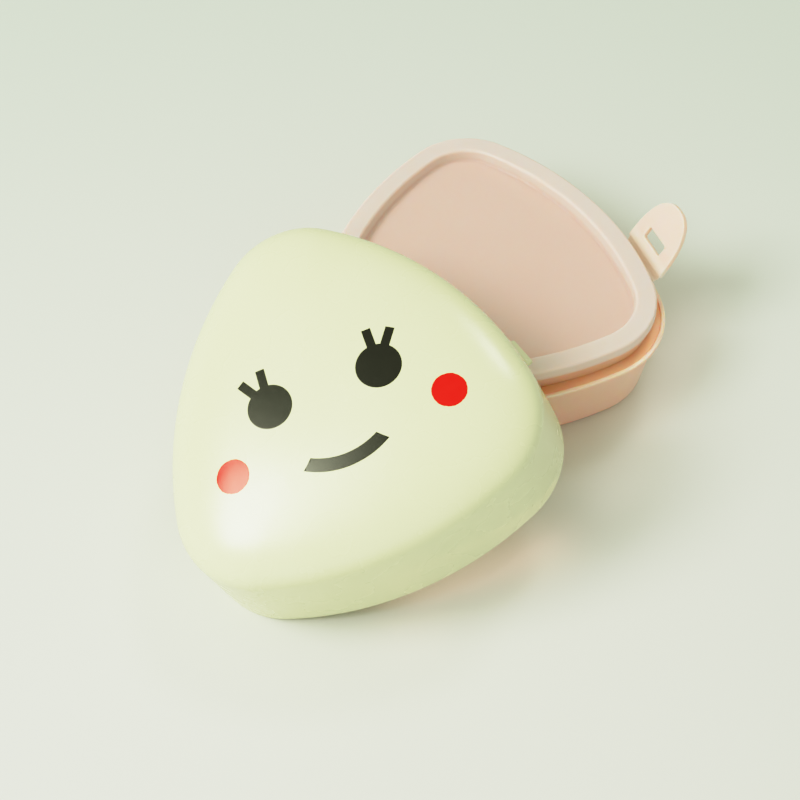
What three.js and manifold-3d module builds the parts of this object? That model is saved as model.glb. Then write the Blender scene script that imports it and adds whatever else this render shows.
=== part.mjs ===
// A lunch case in the shape of a rice ball, standing open: a tray with its clip-on inner lid and two
// hinged latches, and the domed cover, which leans with one corner on the table and its rim on the lid.
// Millimetres, +Z up, +Y towards the tray's pointed end. The origin is under the middle of the whole.

import * as THREE from "three";
import { mergeVertices } from "three/addons/utils/BufferGeometryUtils.js";
import Module from "manifold-3d";

// The outline that cover, lid and tray share: a triangle of three round corners and three bowed sides.
const caseWidth = 115;
const cornerRadius = 27;
const apexRadius = 25.3;
const sideRadius = 110;
const cornerY = -18.5; // the lower corners' centres, from the middle of the outline
const apexY = 38.3; // the upper corner's centre
const outlineSteps = 96;

// The cover: a drafted skirt under a dome, one shell of even thickness.
const skirtHeight = 29.1;
const domeRise = 12.9;
const domeFullness = 2.8; // how far the top stays flat before it rolls over
const shoulderFullness = 2.5; // how full the roll is
const skirtDraft = 0.02; // share by which the skirt narrows over its height
const coverWall = 1.8;
const rimRound = 0.5;
const outerDomeSteps = 12;
const innerDomeSteps = 8;

// The catch on each side of the cover, which a latch's slot hooks over.
const catchLength = 9.2;
const catchHeight = 3.0;
const catchReach = 3.0; // beyond the skirt
const catchRise = 8.2; // its middle above the cover's rim
const catchLead = 1.6; // the slope on its upper side, which a latch slides over
const catchBevel = 0.4;

// The tray: a drafted wall, a ledge that the closed cover stands on, and a neck that holds the lid.
const ledgeTop = 26.4;
const ledgeReach = 0.5;
const ledgeThickness = 1.6;
const wallInset = 1.2; // the wall under the ledge, inside the outline
const footInset = 5.2; // the wall at the tray's foot
const footRound = 3;
const trayWall = 2.2;
const edgeRound = 0.5; // on the tray's and the lid's edges
const neckTop = 33.5;
const neckInset = 4.4;
const neckWall = 1.9;

// The inner lid: a channel that clips over the neck, round a sunken panel.
const lidTop = 35;
const lidDepth = 4; // from the lid's top to the lower edge of its skirt
const lidInset = 2.7;
const lidSkin = 1.2;
const lidRimWidth = 6.7;
const panelSink = 4.3;
const panelSlope = 0.5; // how far the sunken wall leans inwards

// The latches: D-shaped flaps that swing on the ledge's edge, on each side of the case.
const latchAngle = 16.4; // direction of the outline's normal at the right latch, degrees from +X
const hingeReach = 0.95; // the pivot, outside the outline
const hingeHeight = 26.45;
const hingeRound = 0.6; // radius of the flap's rolled root
const latchWidth = 22.6;
const latchLength = 22.8; // from the pivot to the tip
const latchThickness = 1.8;
const latchBevel = 0.35;
const rootLength = 1.9; // the thin root between the pivot and the flap
const flapFullness = 2.4; // how square the D is at its sides
const tipFullness = 2.6; // how blunt its tip is
const slotStart = 6.3; // from the pivot
const slotWidth = 3.7;
const slotLength = 10.2;
const rightLatchLift = 55.4; // above level, degrees
const leftLatchLift = -50;
const clearance = 0.35; // between pieces that touch or turn

// How the cover leans, measured in the tray's frame.
const coverTurn = 12.3; // about its own axis, degrees
const coverLean = 19.8;
const coverLeanAxis = -40.6; // direction of the level line that it leans about
const coverPlace = { x: -42.5, y: -57 };

const colours = { cream: "#ece9cb", milk: "#f1ddd0", peach: "#eeb193", latch: "#f3c4ab" };

const wasm = await Module();
wasm.setup();

const radians = THREE.MathUtils.degToRad;

// The arcs of the outline, anticlockwise from the right-hand side, each with the range of its normals.
function outlineArcs() {
  const cornerX = caseWidth / 2 - cornerRadius;
  const corners = [
    { x: cornerX, y: cornerY, radius: cornerRadius },
    { x: 0, y: apexY, radius: apexRadius },
    { x: -cornerX, y: cornerY, radius: cornerRadius },
  ];
  const arcs = [];
  corners.forEach((from, i) => {
    const to = corners[(i + 1) % corners.length];
    const side = sideArc(from, to);
    const start = Math.atan2(from.y - side.y, from.x - side.x);
    const end = Math.atan2(to.y - side.y, to.x - side.x);
    arcs.push({ ...side, start }, { ...to, start: end });
  });
  return arcs;
}

// The long arc that touches two corner circles from outside.
function sideArc(from, to) {
  const span = Math.hypot(to.x - from.x, to.y - from.y);
  const reach = sideRadius - from.radius;
  const otherReach = sideRadius - to.radius;
  const along = (reach ** 2 - otherReach ** 2 + span ** 2) / (2 * span);
  const across = Math.sqrt(reach ** 2 - along ** 2);
  const dir = { x: (to.x - from.x) / span, y: (to.y - from.y) / span };
  return {
    x: from.x + dir.x * along - dir.y * across,
    y: from.y + dir.y * along + dir.x * across,
    radius: sideRadius,
  };
}

const arcs = outlineArcs();

// The point of the outline whose normal points at the angle, moved out along that normal.
function outlinePoint(angle, offset = 0) {
  const turn = 2 * Math.PI;
  const past = (arc) => (((angle - arc.start) % turn) + turn) % turn;
  const arc = arcs.reduce((best, next) => (past(next) < past(best) ? next : best));
  const reach = arc.radius + offset;
  return new THREE.Vector2(arc.x + reach * Math.cos(angle), arc.y + reach * Math.sin(angle));
}

// The whole outline at one offset, height and scale.
function ring(offset, z, scale = 1) {
  return Array.from({ length: outlineSteps }, (_, i) => {
    const p = outlinePoint((2 * Math.PI * i) / outlineSteps, offset).multiplyScalar(scale);
    return new THREE.Vector3(p.x, p.y, z);
  });
}

const pole = (z) => [new THREE.Vector3(0, 0, z)];

// A closed body through rings of points, which starts and ends in a pole and runs up its outside.
function loft(rings) {
  const starts = [];
  const points = [];
  for (const r of rings) {
    starts.push(points.length);
    points.push(...r);
  }
  const index = [];
  for (let k = 0; k + 1 < rings.length; k++) {
    for (let i = 0; i < outlineSteps; i++) {
      const j = (i + 1) % outlineSteps;
      const [low, high] = [rings[k].length, rings[k + 1].length];
      const a = starts[k] + (i % low);
      const b = starts[k] + (j % low);
      const c = starts[k + 1] + (i % high);
      const d = starts[k + 1] + (j % high);
      if (a !== b) index.push(a, b, d);
      if (c !== d) index.push(a, d, c);
    }
  }
  return new THREE.BufferGeometry().setFromPoints(points).setIndex(index);
}

function toSolid(geometry) {
  const bare = geometry.clone();
  bare.deleteAttribute("normal");
  bare.deleteAttribute("uv");
  const merged = mergeVertices(bare, 1e-4);
  return new wasm.Manifold(
    new wasm.Mesh({
      numProp: 3,
      vertProperties: merged.attributes.position.array,
      triVerts: new Uint32Array(merged.index.array),
    }),
  );
}

function toGeometry(solid) {
  const mesh = solid.getMesh();
  const geometry = new THREE.BufferGeometry();
  geometry.setAttribute("position", new THREE.BufferAttribute(mesh.vertProperties, 3));
  geometry.setIndex(new THREE.BufferAttribute(mesh.triVerts, 1));
  geometry.computeVertexNormals();
  return geometry;
}

// The rings of one side of the cover's shell, from the skirt's foot to the top.
function coverSide(inset, foot, steps) {
  const rings = [ring(-inset, foot), ring(-inset, skirtHeight, 1 - skirtDraft)];
  for (let i = 1; i < steps; i++) {
    const t = (Math.PI / 2) * (i / steps);
    const scale = Math.cos(t) ** (2 / domeFullness);
    const rise = Math.sin(t) ** (2 / shoulderFullness);
    const z = skirtHeight + (domeRise - inset) * rise;
    rings.push(ring(-inset, z, scale * (1 - skirtDraft)));
  }
  rings.push(pole(skirtHeight + domeRise - inset));
  return rings;
}

// A frame on the outline at the right or left latch: X along the case's side, Y outwards, Z up.
function sideFrame(side, offset, z) {
  const angle = side > 0 ? radians(latchAngle) : Math.PI - radians(latchAngle);
  const at = outlinePoint(angle, offset);
  const along = new THREE.Vector3(Math.sin(angle), -Math.cos(angle), 0);
  const out = new THREE.Vector3(Math.cos(angle), Math.sin(angle), 0);
  return new THREE.Matrix4()
    .makeBasis(along, out, new THREE.Vector3(0, 0, 1))
    .setPosition(at.x, at.y, z);
}

// A bar along local X whose section in local Y and Z is the given outline, anticlockwise.
function bar(section, length, bevel = 0) {
  const shape = new THREE.Shape(section.map(([y, z]) => new THREE.Vector2(y, z)));
  const geometry = new THREE.ExtrudeGeometry(shape, {
    depth: length - 2 * bevel,
    bevelEnabled: bevel > 0,
    bevelSize: bevel,
    bevelOffset: -bevel,
    bevelThickness: bevel,
    bevelSegments: 2,
  });
  geometry.translate(0, 0, bevel - length / 2);
  const axes = new THREE.Matrix4().makeBasis(
    new THREE.Vector3(0, 1, 0),
    new THREE.Vector3(0, 0, 1),
    new THREE.Vector3(1, 0, 0),
  );
  return geometry.applyMatrix4(axes);
}

function makeCover() {
  const inner = coverSide(coverWall, rimRound, innerDomeSteps).reverse();
  const outer = coverSide(0, rimRound, outerDomeSteps);
  const rim = [ring(rimRound - coverWall, 0), ring(-rimRound, 0)];
  let shell = toSolid(loft([...inner, ...rim, ...outer]));
  const half = catchHeight / 2;
  const root = -coverWall / 2;
  const section = [
    [root, -half],
    [catchReach - catchBevel, -half],
    [catchReach, catchBevel - half],
    [catchReach, half - catchLead],
    [catchReach - catchLead, half],
    [root, half],
  ];
  const narrowing = (skirtDraft * caseWidth * catchRise) / (2 * skirtHeight);
  for (const side of [1, -1]) {
    const lug = bar(section, catchLength, catchBevel);
    shell = shell.add(toSolid(lug.applyMatrix4(sideFrame(side, -narrowing, catchRise))));
  }
  return toGeometry(shell);
}

// Rings through a profile of [offset, height, radius] corners, each corner rounded by its radius.
function profileRings(profile) {
  return profile.flatMap(([offset, z, radius], i) => {
    if (!radius) return [ring(offset, z)];
    const corner = new THREE.Vector2(offset, z);
    const [before, after] = [profile[i - 1], profile[i + 1]].map(([x, y]) => {
      const way = new THREE.Vector2(x, y).sub(corner);
      return way.setLength(Math.min(radius, way.length() / 2)).add(corner);
    });
    const bend = new THREE.QuadraticBezierCurve(before, corner, after);
    return [0, 0.5, 1].map((t) => bend.getPoint(t)).map((p) => ring(p.x, p.y));
  });
}

function makeTray() {
  const ledgeFoot = ledgeTop - ledgeThickness;
  const neckInner = neckInset + neckWall;
  const floorInset = footInset + trayWall;
  const rings = profileRings([
    [-footInset - 2 * footRound, 0],
    [-footInset - footRound / 6, 0, footRound],
    [-wallInset, ledgeFoot],
    [ledgeReach, ledgeFoot, edgeRound],
    [ledgeReach, ledgeTop, edgeRound],
    [-neckInset, ledgeTop],
    [-neckInset, neckTop, edgeRound],
    [-neckInner, neckTop, edgeRound],
    [-neckInner, ledgeTop],
    [-wallInset - trayWall, ledgeFoot - trayWall],
    [-floorInset, trayWall, footRound],
    [-floorInset - 2 * footRound, trayWall],
  ]);
  let tray = toSolid(loft([pole(0), ...rings, pole(trayWall)]));
  const boreRadius = hingeRound + clearance;
  for (const side of [1, -1]) {
    const bore = new THREE.CylinderGeometry(boreRadius, boreRadius, latchWidth + 2 * clearance, 24);
    bore.rotateZ(Math.PI / 2).applyMatrix4(sideFrame(side, hingeReach, hingeHeight));
    tray = tray.subtract(toSolid(bore));
  }
  return toGeometry(tray);
}

function makeLid() {
  const rimInner = lidInset + lidRimWidth;
  const channelInner = rimInner - lidSkin;
  const channelTop = lidTop - lidSkin;
  const skirtFoot = lidTop - lidDepth;
  const panelTop = lidTop - panelSink;
  const panelFoot = panelTop - lidSkin;
  const panelInset = rimInner + panelSlope;
  const rings = profileRings([
    [-panelInset - lidSkin, panelFoot],
    [-channelInner, panelFoot + lidSkin / 2],
    [-channelInner, channelTop],
    [-lidInset - lidSkin, channelTop],
    [-lidInset - lidSkin, skirtFoot],
    [-lidInset, skirtFoot],
    [-lidInset, lidTop, 2 * edgeRound],
    [-rimInner, lidTop, 2 * edgeRound],
    [-panelInset, panelTop, 2 * edgeRound],
    [-panelInset - 2 * lidSkin, panelTop],
  ]);
  return loft([pole(panelFoot), ...rings, pole(panelTop)]);
}

// The flap lies in local X and Y, with the pivot along X and the side that faces the cover at +Z.
function makeLatch() {
  const flapLength = latchLength - rootLength;
  const steps = 28;
  const outline = new THREE.Shape();
  outline.moveTo(latchWidth / 2, rootLength);
  for (let i = 1; i < steps; i++) {
    const share = Math.cos((Math.PI * i) / steps);
    const high = (1 - Math.abs(share) ** flapFullness) ** (1 / tipFullness);
    outline.lineTo((share * latchWidth) / 2, rootLength + flapLength * high);
  }
  outline.lineTo(-latchWidth / 2, rootLength);
  const slot = new THREE.Path();
  slot.moveTo(-slotLength / 2, slotStart);
  slot.lineTo(-slotLength / 2, slotStart + slotWidth);
  slot.lineTo(slotLength / 2, slotStart + slotWidth);
  slot.lineTo(slotLength / 2, slotStart);
  outline.holes.push(slot);
  const plate = new THREE.ExtrudeGeometry(outline, {
    depth: latchThickness - 2 * latchBevel,
    bevelSize: latchBevel,
    bevelOffset: -latchBevel,
    bevelThickness: latchBevel,
    bevelSegments: 2,
  });
  plate.translate(0, 0, latchBevel + hingeRound - latchThickness);
  const barrel = new THREE.CylinderGeometry(hingeRound, hingeRound, latchWidth, 20);
  barrel.rotateZ(Math.PI / 2);
  const rootEnd = rootLength + 2 * latchBevel;
  const rootSection = [
    [0, -hingeRound],
    [rootEnd, -hingeRound],
    [rootEnd, 0],
    [0, 0],
  ];
  const root = bar(rootSection, latchWidth - 2 * latchBevel);
  return toGeometry(toSolid(plate).add(toSolid(root)).add(toSolid(barrel)));
}

function mesh(name, geometry, colour, roughness) {
  const material = new THREE.MeshStandardMaterial({ color: colour, roughness, metalness: 0 });
  const made = new THREE.Mesh(geometry, material);
  made.name = name;
  return made;
}

const tray = mesh("tray", makeTray(), colours.peach, 0.45);
const lid = mesh("inner_lid", makeLid(), colours.milk, 0.4);
const cover = mesh("cover", makeCover(), colours.cream, 0.35);

const latches = [1, -1].map((side) => {
  const name = side > 0 ? "latch_right" : "latch_left";
  const latch = mesh(name, makeLatch(), colours.latch, 0.45);
  const lift = side > 0 ? rightLatchLift : leftLatchLift;
  latch.applyMatrix4(sideFrame(side, hingeReach, hingeHeight));
  latch.rotateX(radians(lift));
  return latch;
});

const leanAxis = new THREE.Vector3(
  Math.cos(radians(coverLeanAxis)),
  Math.sin(radians(coverLeanAxis)),
  0,
);
cover.rotateZ(radians(coverTurn));
cover.rotateOnWorldAxis(leanAxis, radians(coverLean));
cover.position.set(coverPlace.x, coverPlace.y, 0);
cover.updateMatrixWorld(true);
cover.position.z = -new THREE.Box3().setFromObject(cover, true).min.z;

const lunchCase = new THREE.Group();
lunchCase.add(tray, lid, cover, ...latches);
lunchCase.updateMatrixWorld(true);
const middle = new THREE.Box3().setFromObject(lunchCase, true).getCenter(new THREE.Vector3());
lunchCase.position.set(-middle.x, -middle.y, 0);
lunchCase.updateMatrixWorld(true);

export default lunchCase;
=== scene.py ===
# %% [markdown]
# # A lunch case in the shape of a rice ball
#
# The object is an open plastic lunch case. Its tray, inner lid and cover share one outline: a triangle
# with three round corners and three bowed sides. The tray stands on the table with the lid clipped on.
# The cover leans beside it, with one corner on the table and its rim on the lid, and a face is printed
# on its top. This lesson dresses the plain solids of the case, piece by piece.

# %% [markdown]
# The imported solids are loaded first, as a fixed frame. Every piece that is built below goes where the
# frame says.

import math

import bmesh
import bpy
import numpy as np
from mathutils import Matrix, Quaternion, Vector


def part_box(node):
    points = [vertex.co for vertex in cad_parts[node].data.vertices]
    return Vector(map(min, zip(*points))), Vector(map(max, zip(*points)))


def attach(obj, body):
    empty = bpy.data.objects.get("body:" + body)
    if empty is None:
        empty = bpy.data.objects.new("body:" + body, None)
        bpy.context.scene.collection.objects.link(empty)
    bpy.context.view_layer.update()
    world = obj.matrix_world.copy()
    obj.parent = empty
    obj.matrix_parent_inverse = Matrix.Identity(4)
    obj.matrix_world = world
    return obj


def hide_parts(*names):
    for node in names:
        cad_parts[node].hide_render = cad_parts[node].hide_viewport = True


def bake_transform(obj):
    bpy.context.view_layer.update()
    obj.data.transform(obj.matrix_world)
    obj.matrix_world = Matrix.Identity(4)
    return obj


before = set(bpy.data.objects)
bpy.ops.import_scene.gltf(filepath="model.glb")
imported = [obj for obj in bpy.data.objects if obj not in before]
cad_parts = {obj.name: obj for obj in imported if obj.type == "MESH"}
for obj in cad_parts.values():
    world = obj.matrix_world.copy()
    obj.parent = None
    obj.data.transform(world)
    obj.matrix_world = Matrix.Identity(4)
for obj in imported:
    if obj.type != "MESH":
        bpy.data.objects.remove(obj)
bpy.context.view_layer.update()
MM = 0.001

# %% [markdown]
# The outline could be drawn by hand as a spline, but a moulded one is made of tangent arcs, so arcs
# give its shape from six numbers. Each long side is the arc that touches two corner circles from
# outside. Its centre is found as the third corner of a triangle whose sides are known.

# %% The outline's arcs
CASE_WIDTH = 115 * MM
CORNER_RADIUS = 27 * MM
APEX_RADIUS = 25.3 * MM
SIDE_RADIUS = 110 * MM
CORNER_Y = -18.5 * MM
APEX_Y = 38.3 * MM

corner_x = CASE_WIDTH / 2 - CORNER_RADIUS
corner_circles = [
    (corner_x, CORNER_Y, CORNER_RADIUS),
    (0.0, APEX_Y, APEX_RADIUS),
    (-corner_x, CORNER_Y, CORNER_RADIUS),
]


def side_centre(first, second):
    """The centre of the long arc that touches two corner circles from outside."""
    a, b = np.array(first[:2]), np.array(second[:2])
    span = np.linalg.norm(b - a)
    reach, other_reach = SIDE_RADIUS - first[2], SIDE_RADIUS - second[2]
    along = (reach**2 - other_reach**2 + span**2) / (2 * span)
    across = math.sqrt(reach**2 - along**2)
    direction = (b - a) / span
    return a + direction * along + np.array([-direction[1], direction[0]]) * across


def outline_arcs():
    """(centre, radius, first normal's angle, last normal's angle) of the six arcs, anticlockwise."""
    found = []
    for i, circle in enumerate(corner_circles):
        following = corner_circles[(i + 1) % 3]
        centre = side_centre(circle, following)
        start, end = (math.atan2(c[1] - centre[1], c[0] - centre[0]) for c in (circle, following))
        found.append((centre, SIDE_RADIUS, start, end))
        found.append((np.array(following[:2]), following[2], end, None))
    angles = [arc[2] for arc in found[1:]] + [found[0][2]]
    return [(c, r, start, start + (end - start) % math.tau) for (c, r, start, _), end in zip(found, angles)]


arcs = outline_arcs()
outline_length = sum(radius * (end - start) for _, radius, start, end in arcs)
print(f"the outline has {len(arcs)} arcs and is {outline_length / MM:.0f} mm round")

# %% [markdown]
# A mesh needs points, and they look best at even steps along the line. Each point keeps its arc's
# centre, radius and normal, so that the same points give any inner or outer offset of the outline.

# %% Even points along the outline
OUTLINE_STEP = 1.15 * MM


def outline_samples():
    """Centres, radii and normals of the points that follow the outline at even steps."""
    centres, radii, normals = [], [], []
    for centre, radius, start, end in arcs:
        count = max(4, round(radius * (end - start) / OUTLINE_STEP))
        for i in range(count):
            angle = start + (end - start) * i / count
            centres.append(centre)
            radii.append(radius)
            normals.append((math.cos(angle), math.sin(angle)))
    return np.array(centres), np.array(radii), np.array(normals)


CENTRES, RADII, NORMALS = outline_samples()


def outline(offset=0.0, scale=1.0):
    """The outline's points, moved out by an offset and then scaled about the middle."""
    return scale * (CENTRES + (RADII + offset)[:, None] * NORMALS)


def ring(offset, height, scale=1.0):
    flat = outline(offset, scale)
    return np.column_stack([flat, np.full(len(flat), height)])


print(len(RADII), "points round the outline")

# %% [markdown]
# Every piece starts as a list of points and a list of faces. Smooth shading alone would make large flat
# faces look swollen beside small curved ones, so the normals are weighted towards the large faces.

# %% Make a mesh, shade it and turn it outwards
LARGE_FACE_WEIGHT = 60


def new_piece(name, points, faces):
    """A new object in the scene, made of points and faces."""
    data = bpy.data.meshes.new(name)
    data.from_pydata([tuple(p) for p in points], [], faces)
    data.validate()
    made = bpy.data.objects.new(name, data)
    bpy.context.scene.collection.objects.link(made)
    return made


def shade(made, sharp_angle=35):
    """Smooth shading, apart from edges sharper than an angle in degrees; large faces stay flat."""
    for polygon in made.data.polygons:
        polygon.use_smooth = True
    made.data.set_sharp_from_angle(angle=math.radians(sharp_angle))
    weighting = made.modifiers.new("weighted normals", "WEIGHTED_NORMAL")
    weighting.keep_sharp = True
    weighting.weight = LARGE_FACE_WEIGHT
    return made


def turned_outwards(data, weld=0.0):
    """Points a mesh's faces outwards, and first merges points that are nearer than the weld distance."""
    work = bmesh.new()
    work.from_mesh(data)
    if weld:
        bmesh.ops.remove_doubles(work, verts=work.verts, dist=weld)
    bmesh.ops.recalc_face_normals(work, faces=work.faces)
    work.to_mesh(data)
    work.free()
    return data


# %% [markdown]
# Cover, lid and tray are all shells: closed skins that run down one side of a wall and up the other.
# They could be made with a Solidify modifier, but a loft through rings gives each edge its own
# rounding. The loft joins ring after ring with four-sided faces, and closes both ends with fans.

# %% Loft rings into a closed mesh
def loft(name, first_pole, rings, last_pole):
    """A closed skin through rings of equal size, between two points on the middle line."""
    count = len(rings[0])
    points = np.vstack([[first_pole], *rings, [last_pole]])
    last = len(points) - 1
    faces = []
    for i in range(count):
        j = (i + 1) % count
        faces.append((0, 1 + j, 1 + i))
        for k in range(len(rings) - 1):
            low, high = 1 + k * count, 1 + (k + 1) * count
            faces.append((low + i, low + j, high + j, high + i))
        top = 1 + (len(rings) - 1) * count
        faces.append((top + i, top + j, last))
    return new_piece(name, points, faces)


# %% [markdown]
# A wall's section is a line of corners. On moulded plastic no corner is sharp, so each one is replaced
# by a short curve, and long straight parts get points between, which keeps the faces even.

# %% Rounded section lines
BEND_STEPS = 6
LONGEST_STEP = 2.2 * MM


def bend(before, corner, after, radius):
    """Points of the curve that rounds one corner of a section."""
    ends = []
    for other in (before, after):
        way = other - corner
        length = np.linalg.norm(way)
        ends.append(corner + way / length * min(radius, length / 2))
    shares = np.linspace(0, 1, BEND_STEPS + 1)
    return [(1 - t) ** 2 * ends[0] + 2 * t * (1 - t) * corner + t**2 * ends[1] for t in shares]


def rounded_line(corners):
    """(offset, height) points along (offset, height, radius) corners, in metres."""
    spots = [np.array(c[:2]) for c in corners]
    points = []
    for i, corner in enumerate(corners):
        radius = corner[2] if len(corner) > 2 else 0
        points += bend(spots[i - 1], spots[i], spots[i + 1], radius) if radius else [spots[i]]
    filled = [points[0]]
    for point in points[1:]:
        parts = max(1, math.ceil(np.linalg.norm(point - filled[-1]) / LONGEST_STEP))
        filled += list(np.linspace(filled[-1], point, parts + 1)[1:])
    return filled


# %% [markdown]
# A flat floor or panel is closed by smaller and smaller copies of its last ring, so that no face is a
# long splinter.

# %% Rings that close a flat face
DISC_RINGS = 14


def closing_rings(offset, height, inwards=True):
    """Copies of one ring, shrinking towards the middle, or growing from it."""
    scales = [(DISC_RINGS - i) / DISC_RINGS for i in range(1, DISC_RINGS)]
    rings = [ring(offset, height, scale) for scale in scales]
    return rings if inwards else rings[::-1]


# %% [markdown]
# ## The finishes
#
# All pieces are moulded plastic, or ink on it. A real moulding is never one even colour: the pigment
# is slightly uneven, the gloss changes where the steel mould was polished more or less, and the skin
# has a very fine orange peel. So each finish is the same small tree of nodes: a wide noise mixes two
# near colours, a second one varies the roughness, and a fine one drives a bump. Object coordinates are
# used, which stay with the piece. Small helpers for the nodes come first.

# %% Noise, mixes and bumps
NOISE_RANGE = (0.2, 0.8)  # nearly all of a noise lies between these


def noise(tree, coordinates, scale, detail=2.0):
    """A noise texture on object coordinates; the scale is in waves per metre."""
    made = tree.nodes.new("ShaderNodeTexNoise")
    made.inputs["Scale"].default_value = scale
    made.inputs["Detail"].default_value = detail
    tree.links.new(coordinates.outputs["Object"], made.inputs["Vector"])
    return made


def spread(tree, source, low, high):
    """Maps a noise to a range of values."""
    made = tree.nodes.new("ShaderNodeMapRange")
    made.inputs["From Min"].default_value = NOISE_RANGE[0]
    made.inputs["From Max"].default_value = NOISE_RANGE[1]
    made.inputs["To Min"].default_value = low
    made.inputs["To Max"].default_value = high
    tree.links.new(source, made.inputs["Value"])
    return made.outputs["Result"]


def mixed(tree, factor, first, second):
    """Mixes two colours, each a plain colour or another node's output."""
    made = tree.nodes.new("ShaderNodeMix")
    made.data_type = "RGBA"
    tree.links.new(factor, made.inputs["Factor"])
    for name, value in (("A", first), ("B", second)):
        socket = next(s for s in made.inputs if s.name == name and s.type == "RGBA")
        if isinstance(value, bpy.types.NodeSocket):
            tree.links.new(value, socket)
        else:
            socket.default_value = (*value, 1)
    return next(s for s in made.outputs if s.type == "RGBA")


def bumped(tree, height, shader, strength, distance):
    """Bends a shader's normal by a height."""
    made = tree.nodes.new("ShaderNodeBump")
    made.inputs["Strength"].default_value = strength
    made.inputs["Distance"].default_value = distance
    tree.links.new(height, made.inputs["Height"])
    tree.links.new(made.outputs["Normal"], shader.inputs["Normal"])


# %% [markdown]
# The finish itself could be copied by hand for each plastic, but one function keeps them alike, and each
# plastic only names its own numbers. What is the same all over is set on the shader's own sockets.

# %% A moulded finish
GLOSS_PITCH = 2.3  # waves of gloss for each wave of colour
PEEL_STRENGTH = 0.6


def moulded(name, colours, roughness, patch, peel, peel_depth, **sockets):
    """A plastic: two near colours in patches, a range of roughness, and the pitch of its orange peel."""
    material = bpy.data.materials.new(name)
    material.use_nodes = True
    tree = material.node_tree
    shader = tree.nodes["Principled BSDF"]
    coordinates = tree.nodes.new("ShaderNodeTexCoord")
    patches = spread(tree, noise(tree, coordinates, patch, 1).outputs["Fac"], 0, 1)
    tree.links.new(mixed(tree, patches, *colours), shader.inputs["Base Color"])
    gloss = noise(tree, coordinates, patch * GLOSS_PITCH, 2).outputs["Fac"]
    tree.links.new(spread(tree, gloss, *roughness), shader.inputs["Roughness"])
    skin = noise(tree, coordinates, peel, 3).outputs["Fac"]
    bumped(tree, skin, shader, PEEL_STRENGTH, peel_depth)
    for socket, value in sockets.items():
        shader.inputs[socket.replace("_", " ")].default_value = value
    return material, tree, shader, coordinates


# %% [markdown]
# Some parts of one plastic look paler or deeper than the rest: painted light or painted shade. A picture
# could say where, but numbers that are stored on the mesh's own points do it without one, and the
# finish reads them by name.

# %% Tints that the mesh asks for
def tinted(tree, shader, attribute, colour):
    """Mixes another colour in where a mesh attribute of that name is 1."""
    share = tree.nodes.new("ShaderNodeAttribute")
    share.attribute_name = attribute
    own = shader.inputs["Base Color"].links[0].from_socket
    tree.links.new(mixed(tree, share.outputs["Fac"], own, colour), shader.inputs["Base Color"])
    return share


def marked(made, attribute, values):
    """Stores one number for each point of a mesh."""
    layer = made.data.attributes.new(attribute, "FLOAT", "POINT")
    layer.data.foreach_set("value", np.array(values, dtype=float))


# %% [markdown]
# The cover's cream plastic is smooth and satin, so it spreads the window's reflection into one broad
# soft glare. It looks more solid than the rest, so no light is scattered inside it.

# %% Cream plastic
cream, *_ = moulded(
    "cream plastic",
    colours=((0.72, 0.75, 0.49), (0.735, 0.765, 0.51)),
    roughness=(0.24, 0.30),
    patch=38,
    peel=900,
    peel_depth=0.0004 * MM,
    Specular_IOR_Level=0.8,
)

# %% [markdown]
# The tray is peach polypropylene. It lets light in deep, and what comes back from a corner or groove
# has turned more orange, so its scattering reaches further in red than in blue. On top of that, the
# groove gets painted shade, a deeper orange. Where the plastic is thin it looks paler, which is painted
# light, as if light came through it. One attribute of the mesh marks the groove, another the thin parts.

# %% Peach plastic
# Painted shade: the groove's deeper orange. Painted light: the thin lip's paler peach.
GROOVE_PAINTED_SHADE = (0.88, 0.48, 0.34)
THIN_PEACH_PAINTED_LIGHT = (0.92, 0.66, 0.56)

peach, tree, shader, _ = moulded(
    "peach plastic",
    colours=((0.87, 0.475, 0.41), (0.89, 0.505, 0.44)),
    roughness=(0.36, 0.44),
    patch=45,
    peel=800,
    peel_depth=0.006 * MM,
    Subsurface_Weight=1.0,
    Subsurface_Scale=3.0 * MM,
    Subsurface_Radius=(1.0, 0.4, 0.2),
)
# The thin lip gets its painted light, and then the groove gets its painted shade.
tinted(tree, shader, "thin", THIN_PEACH_PAINTED_LIGHT)
tinted(tree, shader, "groove", GROOVE_PAINTED_SHADE)

# %% [markdown]
# The latches are a paler peach. Their roots are so thin that scattered light would leave on the other
# side, the red first, and what stayed would look blue. So the scattering ends where the plastic is thin,
# and there a paler colour is painted in: painted light that lifts the shaded root.

# %% Latch plastic
# Painted light: a paler colour for the thin root and web, which sit in shade.
THIN_LATCH_PAINTED_LIGHT = (0.93, 0.83, 0.76)

latch_plastic, tree, shader, _ = moulded(
    "latch plastic",
    colours=((0.88, 0.62, 0.57), (0.90, 0.65, 0.60)),
    roughness=(0.38, 0.46),
    patch=60,
    peel=900,
    peel_depth=0.005 * MM,
    Subsurface_Weight=1.0,
    Subsurface_Scale=3.0 * MM,
    Subsurface_Radius=(1.0, 0.6, 0.4),
)
thin = tinted(tree, shader, "thin", THIN_LATCH_PAINTED_LIGHT)
scattering = tree.nodes.new("ShaderNodeMapRange")
scattering.inputs["To Min"].default_value = 1
scattering.inputs["To Max"].default_value = 0
tree.links.new(thin.outputs["Fac"], scattering.inputs["Value"])
tree.links.new(scattering.outputs["Result"], shader.inputs["Subsurface Weight"])

# %% [markdown]
# The inner lid is milky. Where it is one thin panel over the tray, the peach below shines through it,
# and where it folds over the neck it is nearly white. Real transmission would cost many samples for
# a look that hardly changes, so the height of a point mixes the two colours instead.

# %% Milky plastic
PANEL_TINT = (0.735, 0.475, 0.46)
RIM_TINT = (0.765, 0.59, 0.575)
PANEL_HEIGHT = (30.75 * MM, 32.6 * MM)  # the two tints blend between these heights
CLOUD_PITCH = 22
CLOUD_GAIN = 1.04

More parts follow.
